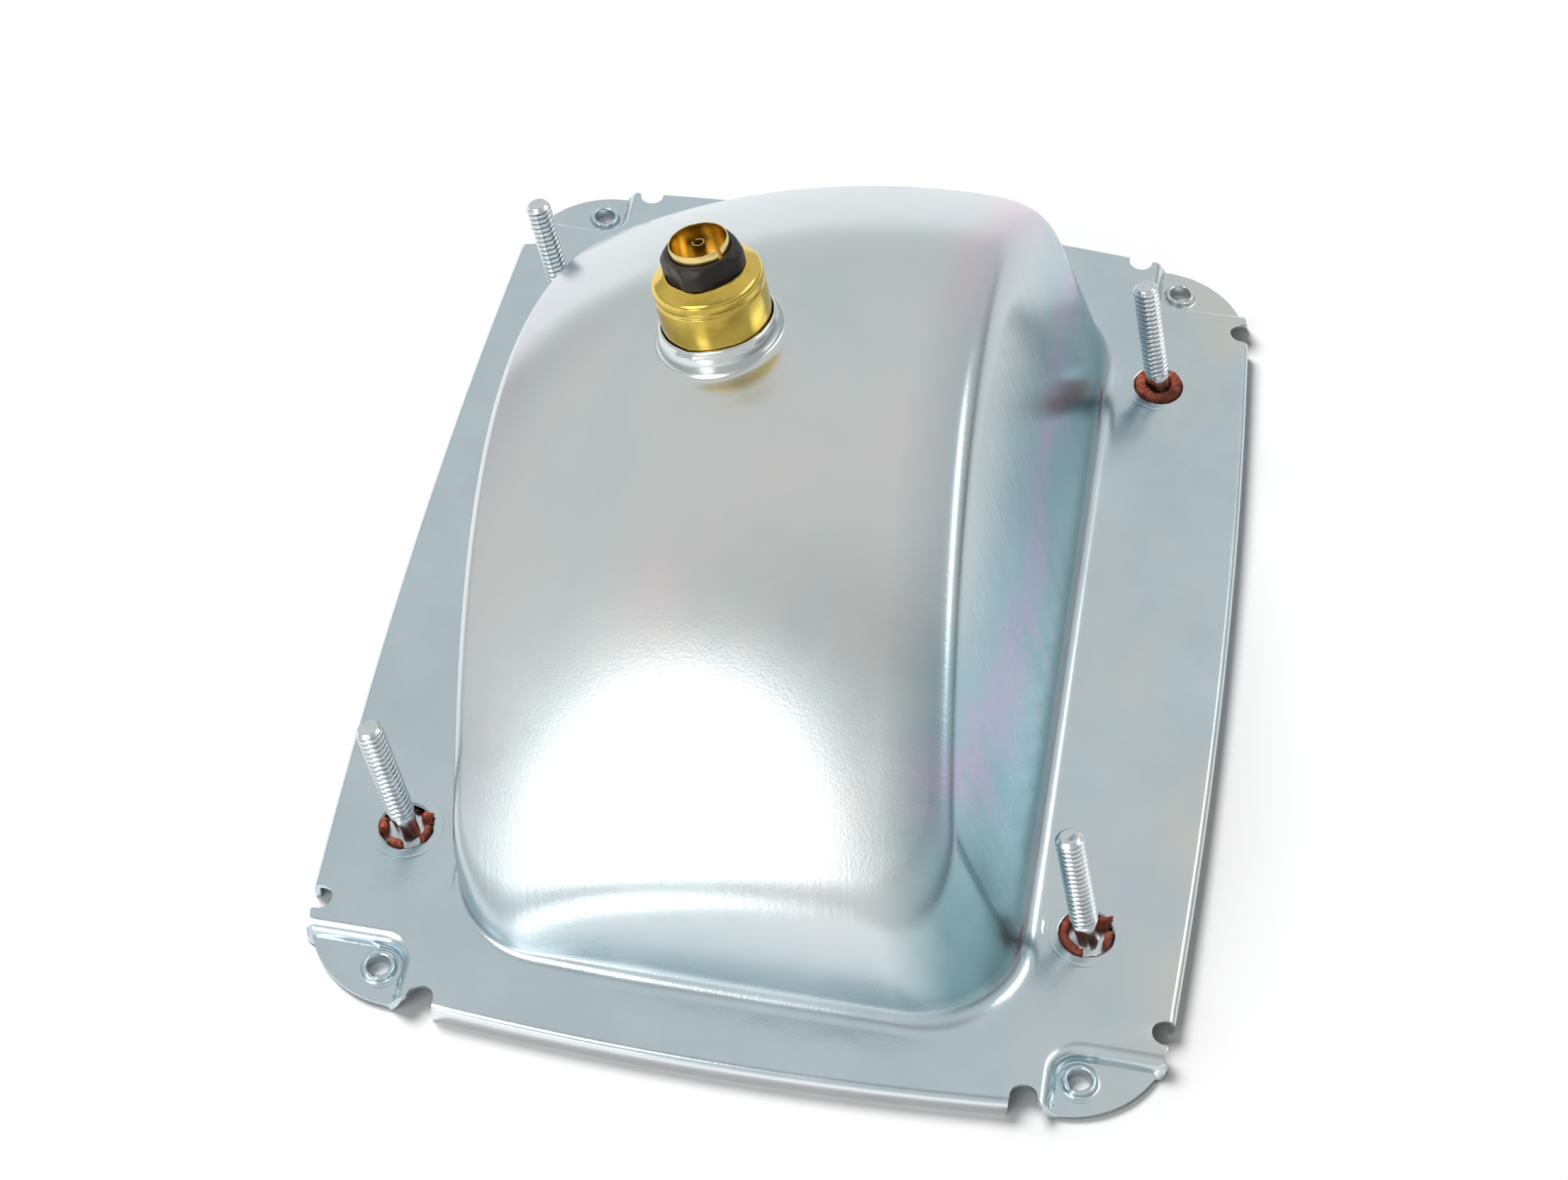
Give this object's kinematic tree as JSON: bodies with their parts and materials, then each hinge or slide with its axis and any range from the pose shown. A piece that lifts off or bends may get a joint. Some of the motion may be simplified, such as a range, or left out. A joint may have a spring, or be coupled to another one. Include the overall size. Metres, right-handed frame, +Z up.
{
  "type": "vehicle lamp housing",
  "caption": "Drawn zinc-plated sheet-steel tail-lamp housing: flanged bucket with leaning threaded studs, corner ears and a sprung bayonet bulb socket.",
  "frame": {"origin": "middle of the rim's outline, on the plane that the turned-down skirt lies on", "axes": "+X to the right and +Y away from the camera across and along the flange, +Z up, square to the flange, towards the back of the bucket; studs and socket lean 13.5 degrees to -X and 8 degrees to +Y"},
  "size_m": [0.152, 0.2, 0.0782],
  "materials": {
    "zinc_sheet": "bright zinc-plated sheet, satin with fine draw marks",
    "stud_zinc": "zinc-plated thread",
    "seal_rubber": "brick-red seal, aged",
    "shell_brass": "brushed brass",
    "bush_phenolic": "dark moulded insulator",
    "terminal_brass": "tinned brass, dull",
    "plate_board": "brown laminated board",
    "spring_steel": "plain spring wire",
    "base_brass": "pressed brass",
    "base_glass": "black glass insulator",
    "solder": "tin solder",
    "clear_glass": "clear glass",
    "wire": "nickel and tungsten wire"
  },
  "bodies": {
    "housing": {"housing_pan": "zinc_sheet", "stud_near_left": "stud_zinc", "stud_near_right": "stud_zinc", "stud_far_left": "stud_zinc", "stud_far_right": "stud_zinc", "seal_near_left": "seal_rubber", "seal_near_right": "seal_rubber", "seal_far_left": "seal_rubber", "seal_far_right": "seal_rubber", "socket_shell": "shell_brass", "insulator_bush": "bush_phenolic", "ring_terminal": "terminal_brass", "pin_terminal": "terminal_brass", "contact_spring": "spring_steel"},
    "contact_carrier": {"contact_plate": "plate_board", "contact_bright": "terminal_brass", "contact_dim": "terminal_brass"},
    "bulb": {"bulb_base": "base_brass", "bayonet_pins": "base_brass", "base_insulator": "base_glass", "solder_contacts": "solder", "bulb_glass": "clear_glass", "glass_stem": "clear_glass", "lead_wires": "wire", "filament_bright": "wire", "filament_dim": "wire"}
  },
  "joints": [
    {"name": "contact_plunge", "type": "slide", "parent": "housing", "child": "contact_carrier", "axis": [-0.2312, 0.1392, 0.9629], "range_m": [0, 0.0025], "stiffness_N_per_m": 1500, "springref_m": -0.004, "deforming": ["contact_spring"]},
    {"name": "bulb_turn", "type": "hinge", "parent": "contact_carrier", "child": "bulb", "pos_m": [-0.02016, 0.01254, 0.05776], "axis": [-0.2312, 0.1392, 0.9629], "range_deg": [-25, 0]}
  ]
}
